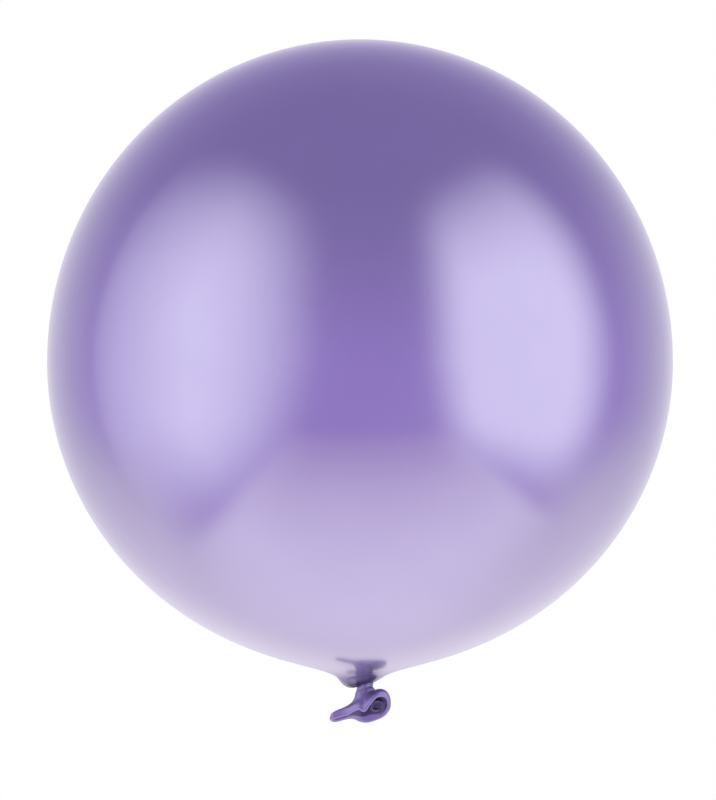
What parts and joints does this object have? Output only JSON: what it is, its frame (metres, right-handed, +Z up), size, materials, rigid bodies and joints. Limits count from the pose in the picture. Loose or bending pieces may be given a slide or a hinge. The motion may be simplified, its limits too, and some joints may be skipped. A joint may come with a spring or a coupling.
{
  "type": "latex balloon",
  "caption": "Inflated round latex balloon with a pleated neck, an overhand knot and a flared, rolled mouth as a short tail below it.",
  "frame": {"origin": "the tie point: the waist of the tied neck just under the knot, on the axis of the round envelope", "axes": "+Z up from the tie through the envelope's crown, +X to the side of the open round lobe of the mouth, -Y to the side that the mouth faces"},
  "size_m": [0.28, 0.28, 0.3063],
  "materials": {
    "stretched_film": "glossy pearl metallic violet, stretched thin",
    "gathered_film": "satin pearl metallic violet, gathered and folded",
    "tail_film": "satin pearl metallic violet, unstretched"
  },
  "bodies": {
    "balloon": {"envelope": "stretched_film", "neck_gather": "gathered_film", "knot_strand": "gathered_film", "knot_loop": "gathered_film"},
    "throat": {"tail_stalk": "tail_film"},
    "tail": {"mouth_skirt": "tail_film", "mouth_bead": "tail_film"}
  },
  "joints": [
    {"name": "tail_sway", "type": "hinge", "parent": "balloon", "child": "throat", "pos_m": [0.0023, 0, -0.0011], "axis": [0, 1, 0], "range_deg": [-12, 35], "stiffness_Nm_per_rad": 0.0005},
    {"name": "tail_nod", "type": "hinge", "parent": "throat", "child": "tail", "pos_m": [0.0023, 0, -0.0011], "axis": [1, 0, 0], "range_deg": [-25, 25], "stiffness_Nm_per_rad": 0.0005}
  ]
}
